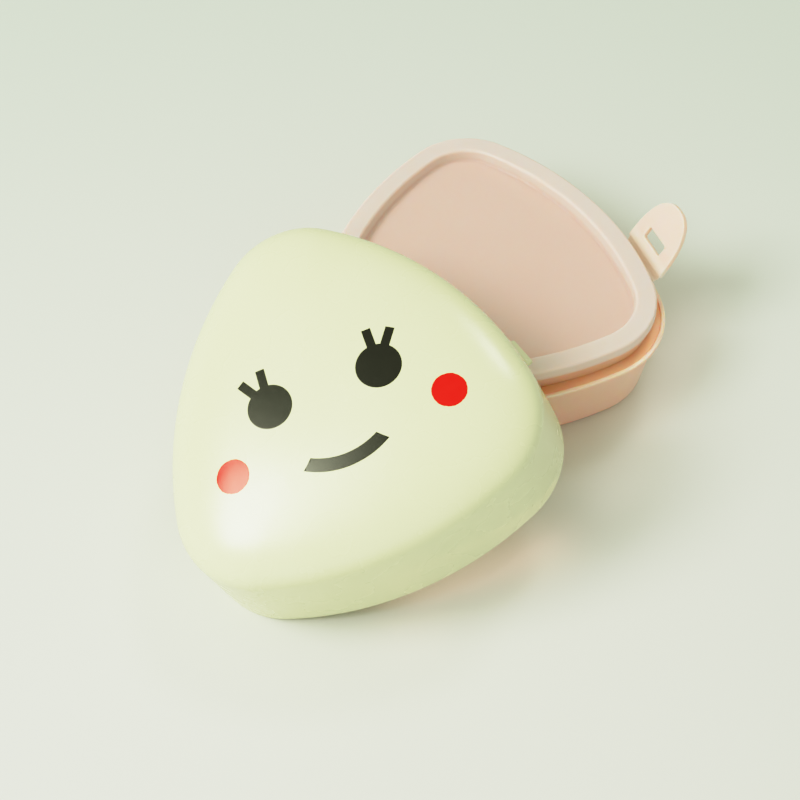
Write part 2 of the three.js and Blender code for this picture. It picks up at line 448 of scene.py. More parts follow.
milky, tree, shader, coordinates = moulded(
    "milky plastic",
    colours=((1, 1, 1), (1, 1, 1)),
    roughness=(0.34, 0.46),
    patch=30,
    peel=600,
    peel_depth=0.006 * MM,
    Subsurface_Weight=1.0,
    Subsurface_Scale=3.0 * MM,
    Subsurface_Radius=(1.0, 0.6, 0.45),
)
split = tree.nodes.new("ShaderNodeSeparateXYZ")
tree.links.new(coordinates.outputs["Object"], split.inputs["Vector"])
height_share = tree.nodes.new("ShaderNodeMapRange")
height_share.interpolation_type = "SMOOTHSTEP"
height_share.inputs["From Min"].default_value = PANEL_HEIGHT[0]
height_share.inputs["From Max"].default_value = PANEL_HEIGHT[1]
tree.links.new(split.outputs["Z"], height_share.inputs["Value"])
cloud = spread(tree, noise(tree, coordinates, CLOUD_PITCH, 2).outputs["Fac"], 0, 1)
panel_colour = mixed(tree, cloud, PANEL_TINT, tuple(CLOUD_GAIN * c for c in PANEL_TINT))
lid_colour = mixed(tree, height_share.outputs["Result"], panel_colour, RIM_TINT)
tree.links.new(lid_colour, shader.inputs["Base Color"])

# %% [markdown]
# The face is printed with a thick satin ink, which takes the same soft reflections as the plastic.

# %% Printing inks
black_ink, *_ = moulded(
    "black ink",
    colours=((0.009, 0.009, 0.008), (0.012, 0.012, 0.010)),
    roughness=(0.21, 0.24),
    patch=200,
    peel=1800,
    peel_depth=0.004 * MM,
    Specular_IOR_Level=0.8,
)
red_ink, *_ = moulded(
    "red ink",
    colours=((0.86, 0.002, 0.002), (0.90, 0.004, 0.004)),
    roughness=(0.18, 0.25),
    patch=300,
    peel=1500,
    peel_depth=0.006 * MM,
    Specular_IOR_Level=0.65,
)

# %% [markdown]
# A piece gets its material in one step, and loses any material that it had before.

# %% Give a piece its finish
def finish(made, material):
    """Gives a piece its material."""
    made.data.materials.clear()
    made.data.materials.append(material)


print(len(bpy.data.materials), "materials")

# %% [markdown]
# ## Where the tray and the cover stand
#
# The tray's middle is read from the frame: its ledge is the outline moved out a little, so the lowest
# corner of the tray's box gives the place of the outline's own middle.

# %% The tray's place
LEDGE_REACH = 0.5 * MM

ledge_points = outline(LEDGE_REACH)
tray_low, tray_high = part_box("tray")
tray_place = Matrix.Translation(
    (
        (tray_low.x + tray_high.x) / 2,
        (tray_low.y + tray_high.y - ledge_points[:, 1].min() - ledge_points[:, 1].max()) / 2,
        0,
    )
)
print("tray's middle in mm:", [round(v / MM, 2) for v in tray_place.translation])

# %% [markdown]
# The tray rises from a small foot, and its wall leans outwards to a ledge. The closed cover stands on
# the ledge's lip, a shallow groove lies behind the lip, and the neck behind the groove holds the lid.
# The section line below goes up the outside, over the neck and down the inside.

# %% The tray's section
LEDGE_TOP = 26.4 * MM
LEDGE_THICKNESS = 1.6 * MM
WALL_INSET = 1.2 * MM
FOOT_INSET = 5.2 * MM
FOOT_ROUND = 3.0 * MM
FOOT_DRAFT = 0.5 * MM
TRAY_WALL = 2.2 * MM
EDGE_ROUND = 0.5 * MM
LIP_WIDTH = 1.2 * MM
GROOVE_DEPTH = 0.7 * MM
LIP_ROUND = 0.25 * MM
NECK_TOP = 33.5 * MM
NECK_INSET = 4.4 * MM
NECK_WALL = 1.9 * MM

ledge_foot = LEDGE_TOP - LEDGE_THICKNESS
groove_foot = LEDGE_TOP - GROOVE_DEPTH
neck_inner = NECK_INSET + NECK_WALL
floor_inset = FOOT_INSET + TRAY_WALL
tray_line = rounded_line(
    [
        (-FOOT_INSET - 2 * FOOT_ROUND, 0),
        (-FOOT_INSET - FOOT_DRAFT, 0, FOOT_ROUND),
        (-WALL_INSET, ledge_foot, EDGE_ROUND),
        (LEDGE_REACH, ledge_foot, EDGE_ROUND),
        (LEDGE_REACH, LEDGE_TOP, LIP_ROUND),
        (LEDGE_REACH - LIP_WIDTH, LEDGE_TOP, LIP_ROUND),
        (LEDGE_REACH - LIP_WIDTH - LIP_ROUND, groove_foot, LIP_ROUND),
        (-NECK_INSET, groove_foot, LIP_ROUND),
        (-NECK_INSET, NECK_TOP, EDGE_ROUND),
        (-neck_inner, NECK_TOP, EDGE_ROUND),
        (-neck_inner, LEDGE_TOP, EDGE_ROUND),
        (-WALL_INSET - TRAY_WALL, ledge_foot - TRAY_WALL, EDGE_ROUND),
        (-floor_inset, TRAY_WALL, FOOT_ROUND),
        (-floor_inset - 2 * FOOT_ROUND, TRAY_WALL),
    ]
)
print("tray's section:", len(tray_line), "points")

# %% [markdown]
# The tray's points are marked for its two tints. The groove's painted shade is strongest at the groove's
# foot and fades up the neck. The lip is the thin part, and it gets the painted light.

# %% The tray's shell
GROOVE_FADE = 3 * MM

tray = loft(
    "tray_shell",
    (0, 0, 0),
    closing_rings(*tray_line[0], inwards=False)
    + [ring(*point) for point in tray_line]
    + closing_rings(*tray_line[-1]),
    (0, 0, TRAY_WALL),
)
lip_inner = LEDGE_REACH - LIP_WIDTH - LIP_ROUND / 2
groove_painted_shade_shares = [
    max(0, 1 - max(0, z - groove_foot) / GROOVE_FADE)
    if -NECK_INSET - LIP_ROUND < x < lip_inner and groove_foot - LIP_ROUND < z
    else 0
    for x, z in tray_line
]
lip_painted_light = [lip_inner <= x and z > ledge_foot + EDGE_ROUND for x, z in tray_line]
for attribute, shares in (("groove", groove_painted_shade_shares), ("thin", lip_painted_light)):
    flat_rings = np.zeros((DISC_RINGS - 1) * len(RADII) + 1)
    marked(tray, attribute, np.concatenate([flat_rings, np.repeat(shares, len(RADII)), flat_rings]))
tray.data.transform(tray_place)
finish(shade(tray), peach)
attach(tray, "case")
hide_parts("tray")
print("tray:", len(tray.data.polygons), "faces")

# %% [markdown]
# The inner lid is one thin sheet that was pressed into shape: a skirt, a channel that clips over the
# neck, and a sunken panel. It is wide and low, so its edges are rounder than the tray's.

# %% The inner lid
LID_TOP = 35 * MM
LID_DEPTH = 4 * MM
LID_INSET = 2.7 * MM
LID_SKIN = 1.2 * MM
LID_RIM_WIDTH = 6.7 * MM
LID_ROUND = 1.0 * MM
PANEL_SINK = 4.3 * MM
PANEL_SLOPE = 0.5 * MM

rim_inner = LID_INSET + LID_RIM_WIDTH
channel_inner = rim_inner - LID_SKIN
channel_top = LID_TOP - LID_SKIN
panel_top = LID_TOP - PANEL_SINK
panel_foot = panel_top - LID_SKIN
panel_inset = rim_inner + PANEL_SLOPE
lid_line = rounded_line(
    [
        (-panel_inset - 2 * LID_SKIN, panel_foot),
        (-channel_inner, panel_foot, LID_ROUND),
        (-channel_inner, channel_top, EDGE_ROUND),
        (-LID_INSET - LID_SKIN, channel_top, EDGE_ROUND),
        (-LID_INSET - LID_SKIN, LID_TOP - LID_DEPTH, EDGE_ROUND),
        (-LID_INSET, LID_TOP - LID_DEPTH, EDGE_ROUND),
        (-LID_INSET, LID_TOP, LID_ROUND),
        (-rim_inner, LID_TOP, LID_ROUND),
        (-panel_inset, panel_top, LID_ROUND),
        (-panel_inset - 2 * LID_SKIN, panel_top),
    ]
)
lid = loft(
    "inner_lid_shell",
    (0, 0, panel_foot),
    closing_rings(*lid_line[0], inwards=False)
    + [ring(*point) for point in lid_line]
    + closing_rings(*lid_line[-1]),
    (0, 0, panel_top),
)
lid.data.transform(tray_place)
finish(shade(lid), milky)
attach(lid, "case")
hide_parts("inner_lid")
print("lid:", len(lid.data.polygons), "faces")

# %% [markdown]
# ## The cover
#
# The cover is a drafted skirt under a dome. A ball or a bevelled prism would both look wrong: the real
# top is nearly flat in its middle, rolls over ever faster, and meets the skirt without a line. A
# superellipse does that with two numbers, one for how flat the middle is and one for the shoulder.

# %% The dome's section
SKIRT_HEIGHT = 29.1 * MM
DOME_RISE = 12.9 * MM
DOME_FULLNESS = 2.8
SHOULDER_FULLNESS = 2.5
SKIRT_DRAFT = 0.02
COVER_WALL = 1.8 * MM
RIM_ROUND = 0.5 * MM


def dome_rise(share):
    """How high the dome is at a share of the way from its middle to the skirt, from 1 to 0."""
    return (1 - share**DOME_FULLNESS) ** (1 / SHOULDER_FULLNESS)


def even_steps(points, step):
    """The same line with its points at even steps."""
    lengths = np.linalg.norm(np.diff(points, axis=0), axis=1)
    along = np.concatenate([[0], np.cumsum(lengths)])
    wanted = np.linspace(0, along[-1], max(2, round(along[-1] / step)) + 1)
    return np.column_stack([np.interp(wanted, along, points[:, k]) for k in range(2)])


# %% [markdown]
# The dome's section is first worked out at many points, and then picked at even steps, because equal
# steps in the formula bunch up at the skirt and leave wide gaps in the middle.

# %% The rings of one side of the cover
DOME_STEP = 1.15 * MM
FINE_STEPS = 4000


def cover_rings(inset, foot):
    """Rings from the skirt's foot up to the last one before the top, at an inset from the outside."""
    turns = np.linspace(0, math.pi / 2, FINE_STEPS)
    scales = np.cos(turns) ** (2 / DOME_FULLNESS)
    rises = np.sin(turns) ** (2 / SHOULDER_FULLNESS)
    half_width = CASE_WIDTH / 2
    line = np.column_stack([half_width * scales, (DOME_RISE - inset) * rises])
    dome = even_steps(line, DOME_STEP)[1:-1]
    heights = np.linspace(foot, SKIRT_HEIGHT, round(SKIRT_HEIGHT / LONGEST_STEP))
    narrow = 1 - SKIRT_DRAFT
    skirt = [
        ring(-inset, z, 1 - SKIRT_DRAFT * (z - foot) / (SKIRT_HEIGHT - foot)) for z in heights
    ]
    return skirt + [ring(-inset, SKIRT_HEIGHT + z, narrow * x / half_width) for x, z in dome]


def rim_rings():
    """The rounded edge that the cover stands on when it is closed."""
    angles = np.radians(np.linspace(0, 90, BEND_STEPS + 1))[1:-1]
    inner = [
        ring(-COVER_WALL + RIM_ROUND * (1 - math.cos(a)), RIM_ROUND * (1 - math.sin(a)))
        for a in angles
    ]
    outer = [
        ring(-RIM_ROUND * (1 - math.sin(a)), RIM_ROUND * (1 - math.cos(a))) for a in angles
    ]
    flat = [ring(RIM_ROUND - COVER_WALL, 0), ring(-RIM_ROUND, 0)]
    return inner + flat + outer


# %% [markdown]
# The cover was modelled level, and now it leans: it turns a little about its own axis, then tips
# about a level line, and sinks until its lowest point is on the table.

# %% The cover's shell and how it leans
COVER_TURN = math.radians(12.3)
COVER_LEAN = math.radians(19.8)
LEAN_AXIS = math.radians(-40.6)
COVER_PLACE = Vector((-42.5, -57, 0)) * MM

cover = loft(
    "cover_shell",
    (0, 0, SKIRT_HEIGHT + DOME_RISE - COVER_WALL),
    cover_rings(COVER_WALL, RIM_ROUND)[::-1] + rim_rings() + cover_rings(0, RIM_ROUND),
    (0, 0, SKIRT_HEIGHT + DOME_RISE),
)
lean = Matrix.Rotation(COVER_LEAN, 4, Vector((math.cos(LEAN_AXIS), math.sin(LEAN_AXIS), 0)))
tilt = lean @ Matrix.Rotation(COVER_TURN, 4, "Z")
lowest = min((tilt @ v.co).z for v in cover.data.vertices)
middle = tray_place.translation + COVER_PLACE
cover_place = Matrix.Translation((middle.x, middle.y, -lowest)) @ tilt
cover.data.transform(cover_place)
finish(shade(cover), cream)
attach(cover, "case")
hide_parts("cover")
print("cover:", len(cover.data.polygons), "faces, lifted by", round(-lowest / MM, 2), "mm")

# %% [markdown]
# Each side of the skirt has a catch that the latch's slot hooks over. It was moulded with the skirt,
# so its root spreads into the wall, and its upper side slopes to let the latch slide over it. It is a
# loft too, this time of rounded rectangles along the way out of the wall. Catches and latches both
# need a place on the case's side, and the arc that faces them gives it.

# %% A frame on the side of the case
LATCH_ANGLE = math.radians(16.4)


def side_frame(side, offset, height):
    """X along the case's side, Y outwards and Z up, on the outline at the right (1) or left (-1) latch."""
    angle = LATCH_ANGLE if side > 0 else math.pi - LATCH_ANGLE
    centre, radius = next(
        (c, r) for c, r, start, end in arcs if (angle - start) % math.tau < end - start
    )
    out = Vector((math.cos(angle), math.sin(angle), 0))
    along = Vector((math.sin(angle), -math.cos(angle), 0))
    spot = Vector((*centre, height)) + out * (radius + offset)
    columns = Matrix((along, out, Vector((0, 0, 1)))).transposed().to_4x4()
    return Matrix.Translation(spot) @ columns


def rounded_rectangle(half_length, low, high, radius, steps=5):
    """Anticlockwise (x, z) points of a rectangle with round corners."""
    corners = [
        (half_length - radius, high - radius, 0),
        (radius - half_length, high - radius, 90),
        (radius - half_length, low + radius, 180),
        (half_length - radius, low + radius, 270),
    ]
    points = []
    for x, z, start in corners:
        for turn in np.radians(np.linspace(start, start + 90, steps + 1)):
            points.append((x + radius * math.cos(turn), z + radius * math.sin(turn)))
    return points


# %% [markdown]
# A catch's sections all follow from its size: a flare where it leaves the wall, a straight part, the
# sloping lead, and a small bevel round its end.

# %% The catches
CATCH_LENGTH = 9.2 * MM
CATCH_HEIGHT = 3.0 * MM
CATCH_REACH = 3.0 * MM
CATCH_RISE = 8.2 * MM
CATCH_LEAD = 1.6 * MM
CATCH_BEVEL = 0.4 * MM
CATCH_FLARE = 0.5 * MM
FLARE_STEPS = 4
BEVEL_STEPS = 3


def catch_sections():
    """(distance out, how much larger than the catch's section, how much the upper side has sunk)."""
    root = [(-COVER_WALL / 2, CATCH_FLARE, 0), (0, CATCH_FLARE, 0)]
    flare = []
    for turn in np.radians(np.linspace(0, 90, FLARE_STEPS + 1))[1:]:
        flare.append((CATCH_FLARE * math.sin(turn), CATCH_FLARE * (1 - math.sin(turn)), 0))
    lead_start = CATCH_REACH - CATCH_LEAD
    lead = [(lead_start, 0, 0), (CATCH_REACH - CATCH_BEVEL, 0, CATCH_LEAD - CATCH_BEVEL)]
    bevel = []
    for turn in np.radians(np.linspace(0, 90, BEVEL_STEPS + 1))[1:]:
        out = CATCH_REACH - CATCH_BEVEL * (1 - math.sin(turn))
        bevel.append((out, -CATCH_BEVEL * (1 - math.cos(turn)), CATCH_LEAD - CATCH_BEVEL))
    return root + flare + lead + bevel


def make_catch(name, side):
    rings = []
    for out, larger, sunk in catch_sections():
        low = -CATCH_HEIGHT / 2 - larger
        high = CATCH_HEIGHT / 2 + larger - sunk
        section = rounded_rectangle(CATCH_LENGTH / 2 + larger, low, high, CATCH_BEVEL + larger / 2)
        rings.append(np.array([(x, out, z) for x, z in section]))
    ends = [(0, rings[0][0][1], 0), (0, rings[-1][0][1], rings[-1][:, 2].mean())]
    catch = loft(name, ends[0], rings, ends[1])
    narrowing = SKIRT_DRAFT * CASE_WIDTH * CATCH_RISE / (2 * SKIRT_HEIGHT)
    catch.data.transform(cover_place @ side_frame(side, -narrowing, CATCH_RISE))
    turned_outwards(catch.data)
    finish(shade(catch), cream)
    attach(catch, "case")
    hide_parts("cover")
    return catch


catches = [make_catch("cover_catch_right", 1), make_catch("cover_catch_left", -1)]
print(len(catches), "catches")

# %% [markdown]
# ## The face
#
# The face is printed on the dome. It could be painted by the cover's own nodes, but then its edges
# would only be as fine as a baked picture. So each print is a real film of ink, a few hundredths of a
# millimetre thick, that follows the dome. The film needs the dome's height over any point of its plan.

# %% The dome's height over its plan
outline_points = outline()
turns = np.arctan2(outline_points[:, 1], outline_points[:, 0])
order = np.argsort(turns)
outline_turns = turns[order]
outline_reaches = np.hypot(*outline_points[order].T)


def dome_point(x, y):
    """The point of the cover's top over a point of its plan, before the cover leans."""
    reach = np.interp(math.atan2(y, x), outline_turns, outline_reaches, period=math.tau)
    share = min(1.0, math.hypot(x, y) / (reach * (1 - SKIRT_DRAFT)))
    return np.array([x, y, SKIRT_HEIGHT + DOME_RISE * dome_rise(share)])


def dome_normal(x, y, step=0.2 * MM):
    across = dome_point(x + step, y) - dome_point(x - step, y)
    up = dome_point(x, y + step) - dome_point(x, y - step)
    normal = np.cross(across, up)
    return normal / np.linalg.norm(normal)


print("height of the dome over its middle in mm:", round(dome_point(0, 0)[2] / MM, 2))

# %% [markdown]
# A print is given as a closed line round a middle, both on the plan. The film is a fan of shrinking
# copies of that line, lifted on to the dome, with a rounded edge and a hidden underside in the wall.

# %% A film of ink on the dome
INK_THICKNESS = 0.03 * MM
INK_EDGE = 0.6 * INK_THICKNESS  # how high the edge's side goes before it rounds over
INK_ROOT = 0.12 * MM
FILM_RINGS = 9
EDGE_SHARE = 0.012  # of the way from a print's edge to its middle, where its top begins
FLAT_SHARE = 3 * EDGE_SHARE  # of the same way, where the rounding has surely ended
FACE_TURN = math.radians(-1.8)


def on_dome(flat, lift):
    """Points of the face's plan, turned with the print, on the dome at a lift above its surface."""
    turned = flat @ np.array(
        [
            [math.cos(FACE_TURN), math.sin(FACE_TURN)],
            [-math.sin(FACE_TURN), math.cos(FACE_TURN)],
        ]
    )
    return np.array([dome_point(*p) + lift * dome_normal(*p) for p in turned])


def make_film(name, line, middle, material):
    """line is the print's edge and middle the point that each edge point shrinks towards."""
    line, middle = np.array(line), np.array(middle)
    shares = [i / FILM_RINGS for i in range(1, FILM_RINGS + 1)]
    under = [on_dome(middle + (line - middle) * s, -INK_ROOT) for s in shares]
    edge = [on_dome(line, -INK_ROOT / 2), on_dome(line, INK_EDGE)]
    inward = [1 - EDGE_SHARE, 1 - FLAT_SHARE, *shares[-2::-1]]
    over = [on_dome(middle + (line - middle) * s, INK_THICKNESS) for s in inward]
    poles = [on_dome(middle[None], lift)[0] for lift in (-INK_ROOT, INK_THICKNESS)]
    film = loft(name, poles[0], under + edge + over, poles[1])
    film.data.transform(cover_place)
    finish(shade(film, sharp_angle=50), material)
    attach(film, "case")


# %% [markdown]
# An eye is a disc with two lashes. All three are one print: from the disc's middle, the edge is the
# farthest of the disc and the two bars, so a single distance for each direction draws it. The outer
# lash of the left eye stands a little steeper than that of the right one.

# %% The eyes
EYE_RADIUS = 6.85 * MM
LASH_WIDTH = 2.75 * MM
LASH_REACH = 12.4 * MM
INNER_LASH = math.radians(-1.0)  # from straight up, outwards
OUTER_LASH = {1: math.radians(33.0), -1: math.radians(32.0)}
EYE_STEPS = 120
EYES = {  # name: the middle on the plan, and the side
    "face_eye_right": (16.8 * MM, 1.85 * MM, 1),
    "face_eye_left": (-16.9 * MM, 2.65 * MM, -1),
}


def eye_reach(angle, side):
    """The distance from the eye's middle to its edge, in one direction on the plan."""
    reach = EYE_RADIUS
    for lash in (INNER_LASH, OUTER_LASH[side]):
        off = math.remainder(angle - (math.pi / 2 - side * lash), math.tau)
        if abs(off) < math.pi / 4:
            beside = LASH_WIDTH / 2 / max(1e-9, abs(math.sin(off)))
            reach = max(reach, min(LASH_REACH / math.cos(off), beside))
    return reach


def eye_angles(side):
    """Even directions, and the exact ones of the lashes' corners and roots."""
    angles = list(np.linspace(0, math.tau, EYE_STEPS, endpoint=False))
    for lash in (INNER_LASH, OUTER_LASH[side]):
        for distance in (math.hypot(LASH_REACH, LASH_WIDTH / 2), EYE_RADIUS):
            half = math.asin(LASH_WIDTH / 2 / distance)
            angles += [math.pi / 2 - side * lash + half, math.pi / 2 - side * lash - half]
    return sorted(a % math.tau for a in angles)


for name, (x, y, side) in EYES.items():
    angles = eye_angles(side)
    reaches = [eye_reach(a, side) for a in angles]
    line = [(x + r * math.cos(a), y + r * math.sin(a)) for a, r in zip(angles, reaches)]
    make_film(name, line, (x, y), black_ink)
print("eyes:", sorted(EYES))

# %% [markdown]
# A cheek is a plain disc of red. The edge of such a print is never a perfect circle, so a few small
# waves of different lengths run round it.

# %% The cheeks
CHEEK_RADIUS = 5.12 * MM
CHEEK_STEPS = 96
CHEEK_WAVES = ((7, 0.03 * MM), (19, 0.03 * MM), (31, 0.02 * MM))
CHEEKS = {"face_cheek_right": (33.4 * MM, -13.0 * MM), "face_cheek_left": (-33.3 * MM, -13.0 * MM)}

for name, (x, y) in CHEEKS.items():
    line = []
    for angle in np.linspace(0, math.tau, CHEEK_STEPS, endpoint=False):
        reach = CHEEK_RADIUS + sum(size * math.sin(count * angle) for count, size in CHEEK_WAVES)
        line.append((x + reach * math.cos(angle), y + reach * math.sin(angle)))
    make_film(name, line, (x, y), red_ink)
print("cheeks:", sorted(CHEEKS))

# %% [markdown]
# The mouth is a bent bar, a band between two arcs about one centre. It is too long for a fan, so its
# rings run across it, from one end to the other.

# %% The mouth
MOUTH_CENTRE_Y = 1.45 * MM
MOUTH_INNER = 21.15 * MM
MOUTH_STROKE = 4.0 * MM
MOUTH_INNER_HALF = math.radians(28.4)
MOUTH_OUTER_HALF = math.radians(31.3)
MOUTH_STEPS = 48
STROKE_STEPS = 6


def mouth_point(along, across):
    """A point of the mouth's plan: along it from -1 to 1, and across its stroke from 0 to 1."""
    half = MOUTH_INNER_HALF + (MOUTH_OUTER_HALF - MOUTH_INNER_HALF) * across
    reach = MOUTH_INNER + MOUTH_STROKE * across
    return reach * math.sin(half * along), MOUTH_CENTRE_Y - reach * math.cos(half * along)


def mouth_ring(along):
    """A closed section of the film: over the stroke on top, and back underneath."""
    shares = np.linspace(0, 1, STROKE_STEPS + 1)
    flat = np.array([mouth_point(along, s) for s in shares])
    shares = [EDGE_SHARE, FLAT_SHARE, *shares[1:-1], 1 - FLAT_SHARE, 1 - EDGE_SHARE]
    top = np.array([mouth_point(along, s) for s in shares])
    return np.vstack(
        [
            on_dome(flat[:1], INK_EDGE),
            on_dome(top, INK_THICKNESS),
            on_dome(flat[-1:], INK_EDGE),
            on_dome(flat[::-1], -INK_ROOT),
        ]
    )


rings = [mouth_ring(a) for a in np.linspace(-1, 1, MOUTH_STEPS + 1)]
mouth = loft("face_mouth", rings[0].mean(axis=0), rings, rings[-1].mean(axis=0))
turned_outwards(mouth.data).transform(cover_place)
finish(shade(mouth, sharp_angle=50), black_ink)
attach(mouth, "case")
print("mouth:", len(mouth.data.polygons), "faces")

# %% [markdown]
# ## The latches
#
# A latch is a D-shaped flap with a slot. Its rounded edges come free of charge if it starts as a flat
# curve: Blender fills the curve, leaves the slot open because it lies inside, and bevels both edges.

# %% The flap's curve
LATCH_WIDTH = 21.8 * MM
LATCH_LENGTH = 22.0 * MM
LATCH_THICKNESS = 1.8 * MM
LATCH_BEVEL = 0.35 * MM
HINGE_ROUND = 0.6 * MM
ROOT_LENGTH = 1.9 * MM
ROOT_START = 0.5 * MM
FLAP_FULLNESS = 2.4
TIP_FULLNESS = 2.6
SLOT_START = 6.1 * MM
SLOT_WIDTH = 4.0 * MM
SLOT_LENGTH = 10.2 * MM
SLOT_ROUND = 0.7 * MM
FLAP_STEPS = 72


def flap_outline():
    """The flap's edge: straight at the root, and half a superellipse round the tip."""
    points = []
    for i in range(FLAP_STEPS + 1):
        share = math.cos(math.pi * i / FLAP_STEPS)
        high = (1 - abs(share) ** FLAP_FULLNESS) ** (1 / TIP_FULLNESS)
        points.append((share * LATCH_WIDTH / 2, ROOT_LENGTH + (LATCH_LENGTH - ROOT_LENGTH) * high))
    return points


def slot_outline():
    middle_y = SLOT_START + SLOT_WIDTH / 2
    points = rounded_rectangle(SLOT_LENGTH / 2, -SLOT_WIDTH / 2, SLOT_WIDTH / 2, SLOT_ROUND)
    return [(x, y + middle_y) for x, y in points]


def flap_plate():
    """The plate as a mesh, made from a filled and bevelled flat curve."""
    drawing = bpy.data.curves.new("flap drawing", "CURVE")
    drawing.dimensions = "2D"
    drawing.fill_mode = "BOTH"
    drawing.extrude = LATCH_THICKNESS / 2 - LATCH_BEVEL
    drawing.bevel_depth = LATCH_BEVEL
    drawing.bevel_resolution = 3
    drawing.offset = -LATCH_BEVEL
    for points in (flap_outline(), slot_outline()):
        spline = drawing.splines.new("POLY")
        spline.points.add(len(points) - 1)
        for spot, (x, y) in zip(spline.points, points):
            spot.co = (x, y, 0, 1)
        spline.use_cyclic_u = True
    holder = bpy.data.objects.new("flap drawing", drawing)
    plate = bpy.data.meshes.new_from_object(holder)
    bpy.data.objects.remove(holder)
    plate.transform(Matrix.Translation((0, 0, HINGE_ROUND - LATCH_THICKNESS / 2)))
    return plate


# %% [markdown]
# Both latches are the same flap, lifted by a different angle about the hinge. The thin root that
# carries it is a small bevelled block, and a Boolean union makes one piece of the two.

# %% The flaps
LATCH_LIFTS = {1: math.radians(55.4), -1: math.radians(-50)}
HINGE_REACH = 0.95 * MM
HINGE_HEIGHT = 26.45 * MM
ROOT_WIDTH = LATCH_WIDTH - 3 * LATCH_BEVEL
ROOT_BEVEL = 0.12 * MM
WELD = 0.01 * MM
ROOT_PAINTED_LIGHT_FADE = 5 * MM
BODIES = {1: "right_latch", -1: "left_latch"}
NODES = {1: "latch_right", -1: "latch_left"}


def root_strip():
    """The thin strip between the hinge and the flap, as a bevelled block."""
    length = ROOT_LENGTH + 2 * LATCH_BEVEL - ROOT_START
    work = bmesh.new()
    bmesh.ops.create_cube(work, size=1)
    bmesh.ops.scale(work, verts=work.verts, vec=(ROOT_WIDTH, length, HINGE_ROUND))
    middle = (0, ROOT_START + length / 2, -HINGE_ROUND / 2)
    bmesh.ops.translate(work, verts=work.verts, vec=middle)
    bmesh.ops.bevel(work, geom=work.edges, offset=ROOT_BEVEL, segments=2, affect="EDGES")
    strip = bpy.data.meshes.new("root strip")
    work.to_mesh(strip)
    work.free()
    return strip


def make_flap(side):
    name = NODES[side] + "_flap"
    flap = bpy.data.objects.new(name, turned_outwards(flap_plate(), weld=WELD))
    strip = bpy.data.objects.new("root strip", root_strip())
    for piece in (flap, strip):
        bpy.context.scene.collection.objects.link(piece)
    union = flap.modifiers.new("union", "BOOLEAN")
    union.operation = "UNION"
    union.solver = "EXACT"
    union.object = strip
    evaluated = flap.evaluated_get(bpy.context.evaluated_depsgraph_get())
    joined = bpy.data.meshes.new_from_object(evaluated)
    flap.modifiers.clear()
    flap.data = joined
    bpy.data.objects.remove(strip)
    # Painted light on the root, fading out over the first millimetres of the flap.
    past_root = [max(0, v.co.y - ROOT_LENGTH) for v in flap.data.vertices]
    marked(flap, "thin", [max(0, 1 - distance / ROOT_PAINTED_LIGHT_FADE) for distance in past_root])
    place = tray_place @ side_frame(side, HINGE_REACH, HINGE_HEIGHT)
    flap.data.transform(place @ Matrix.Rotation(LATCH_LIFTS[side], 4, "X"))
    finish(shade(flap, sharp_angle=40), latch_plastic)
    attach(flap, BODIES[side])
    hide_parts(NODES[side])
    return flap


flaps = [make_flap(side) for side in (1, -1)]
print("flaps:", [(f.name, len(f.data.polygons)) for f in flaps])

# %% [markdown]
# The flap hangs on a living hinge, a web of the same plastic that is thin enough to fold. The web
# belongs to the tray at one edge and to the flap at the other. It is built once, bent to the flap's lift.

# %% The hinge webs
WEB_THICKNESS = 0.4 * MM
WEB_DEPTH = 0.28 * MM  # of its middle, under the pivot
WEB_BITE = 0.3 * MM  # how far it reaches into the ledge and into the root
WEB_STEPS = 10
WEB_WIDTH = LATCH_WIDTH - 5 * LATCH_BEVEL


def web_line(lift):
    """(out, up) points of the web's middle, from inside the ledge round the pivot to the flap's root."""
    start = np.array([LEDGE_REACH - HINGE_REACH - WEB_BITE, -WEB_DEPTH])
    turn = np.array([0.0, -WEB_DEPTH])
    along = np.array([math.cos(lift), math.sin(lift)])
    across = np.array([-math.sin(lift), math.cos(lift)])
    end = along * (ROOT_START + WEB_BITE) - across * HINGE_ROUND / 2
    shares = np.linspace(0, 1, WEB_STEPS + 1)[:, None]
    return (1 - shares) ** 2 * start + 2 * shares * (1 - shares) * turn + shares**2 * end


def make_web(side):
    line = web_line(LATCH_LIFTS[side])
    ways = np.gradient(line, axis=0)
    ways /= np.linalg.norm(ways, axis=1)[:, None]
    sides = np.column_stack([-ways[:, 1], ways[:, 0]]) * WEB_THICKNESS / 2
    half = WEB_WIDTH / 2
    rings = []
    for spot, shift in zip(line, sides):
        low, high = spot - shift, spot + shift
        rings.append(np.array([(-half, *low), (half, *low), (half, *high), (-half, *high)]))
    web = loft(NODES[side] + "_hinge_web", rings[0].mean(axis=0), rings, rings[-1].mean(axis=0))
    turned_outwards(web.data, weld=WELD)
    # The whole web gets the same painted light.
    marked(web, "thin", np.ones(len(web.data.vertices)))
    place = tray_place @ side_frame(side, HINGE_REACH, HINGE_HEIGHT)
    web.data.transform(place)
    finish(shade(web), latch_plastic)
    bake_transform(web)
    return web


webs = [make_web(side) for side in (1, -1)]
print("hinge webs:", [w.name for w in webs])

# %% [markdown]
# ## Floor, camera and light
#
# The table is a plain pale board, so large that its edge isn't seen from any side. It could stay one
# colour, but it is painted a little darker and greener away from the case, a painted falloff of light.
# So a second colour, painted shade, is mixed in by the distance from one spot of the board.

# %% The floor
FLOOR_HALF = 18.0
FLOOR_DROP = 0.02 * MM
# Painted shade far off, and the spot where the painted light is palest.
FAR_BOARD_PAINTED_SHADE = (0.575, 0.645, 0.60)
PAINTED_LIGHT_SPOT = (-0.04, -0.12, 0)
PALE_REACH = 0.03
FAR_REACH = 0.42

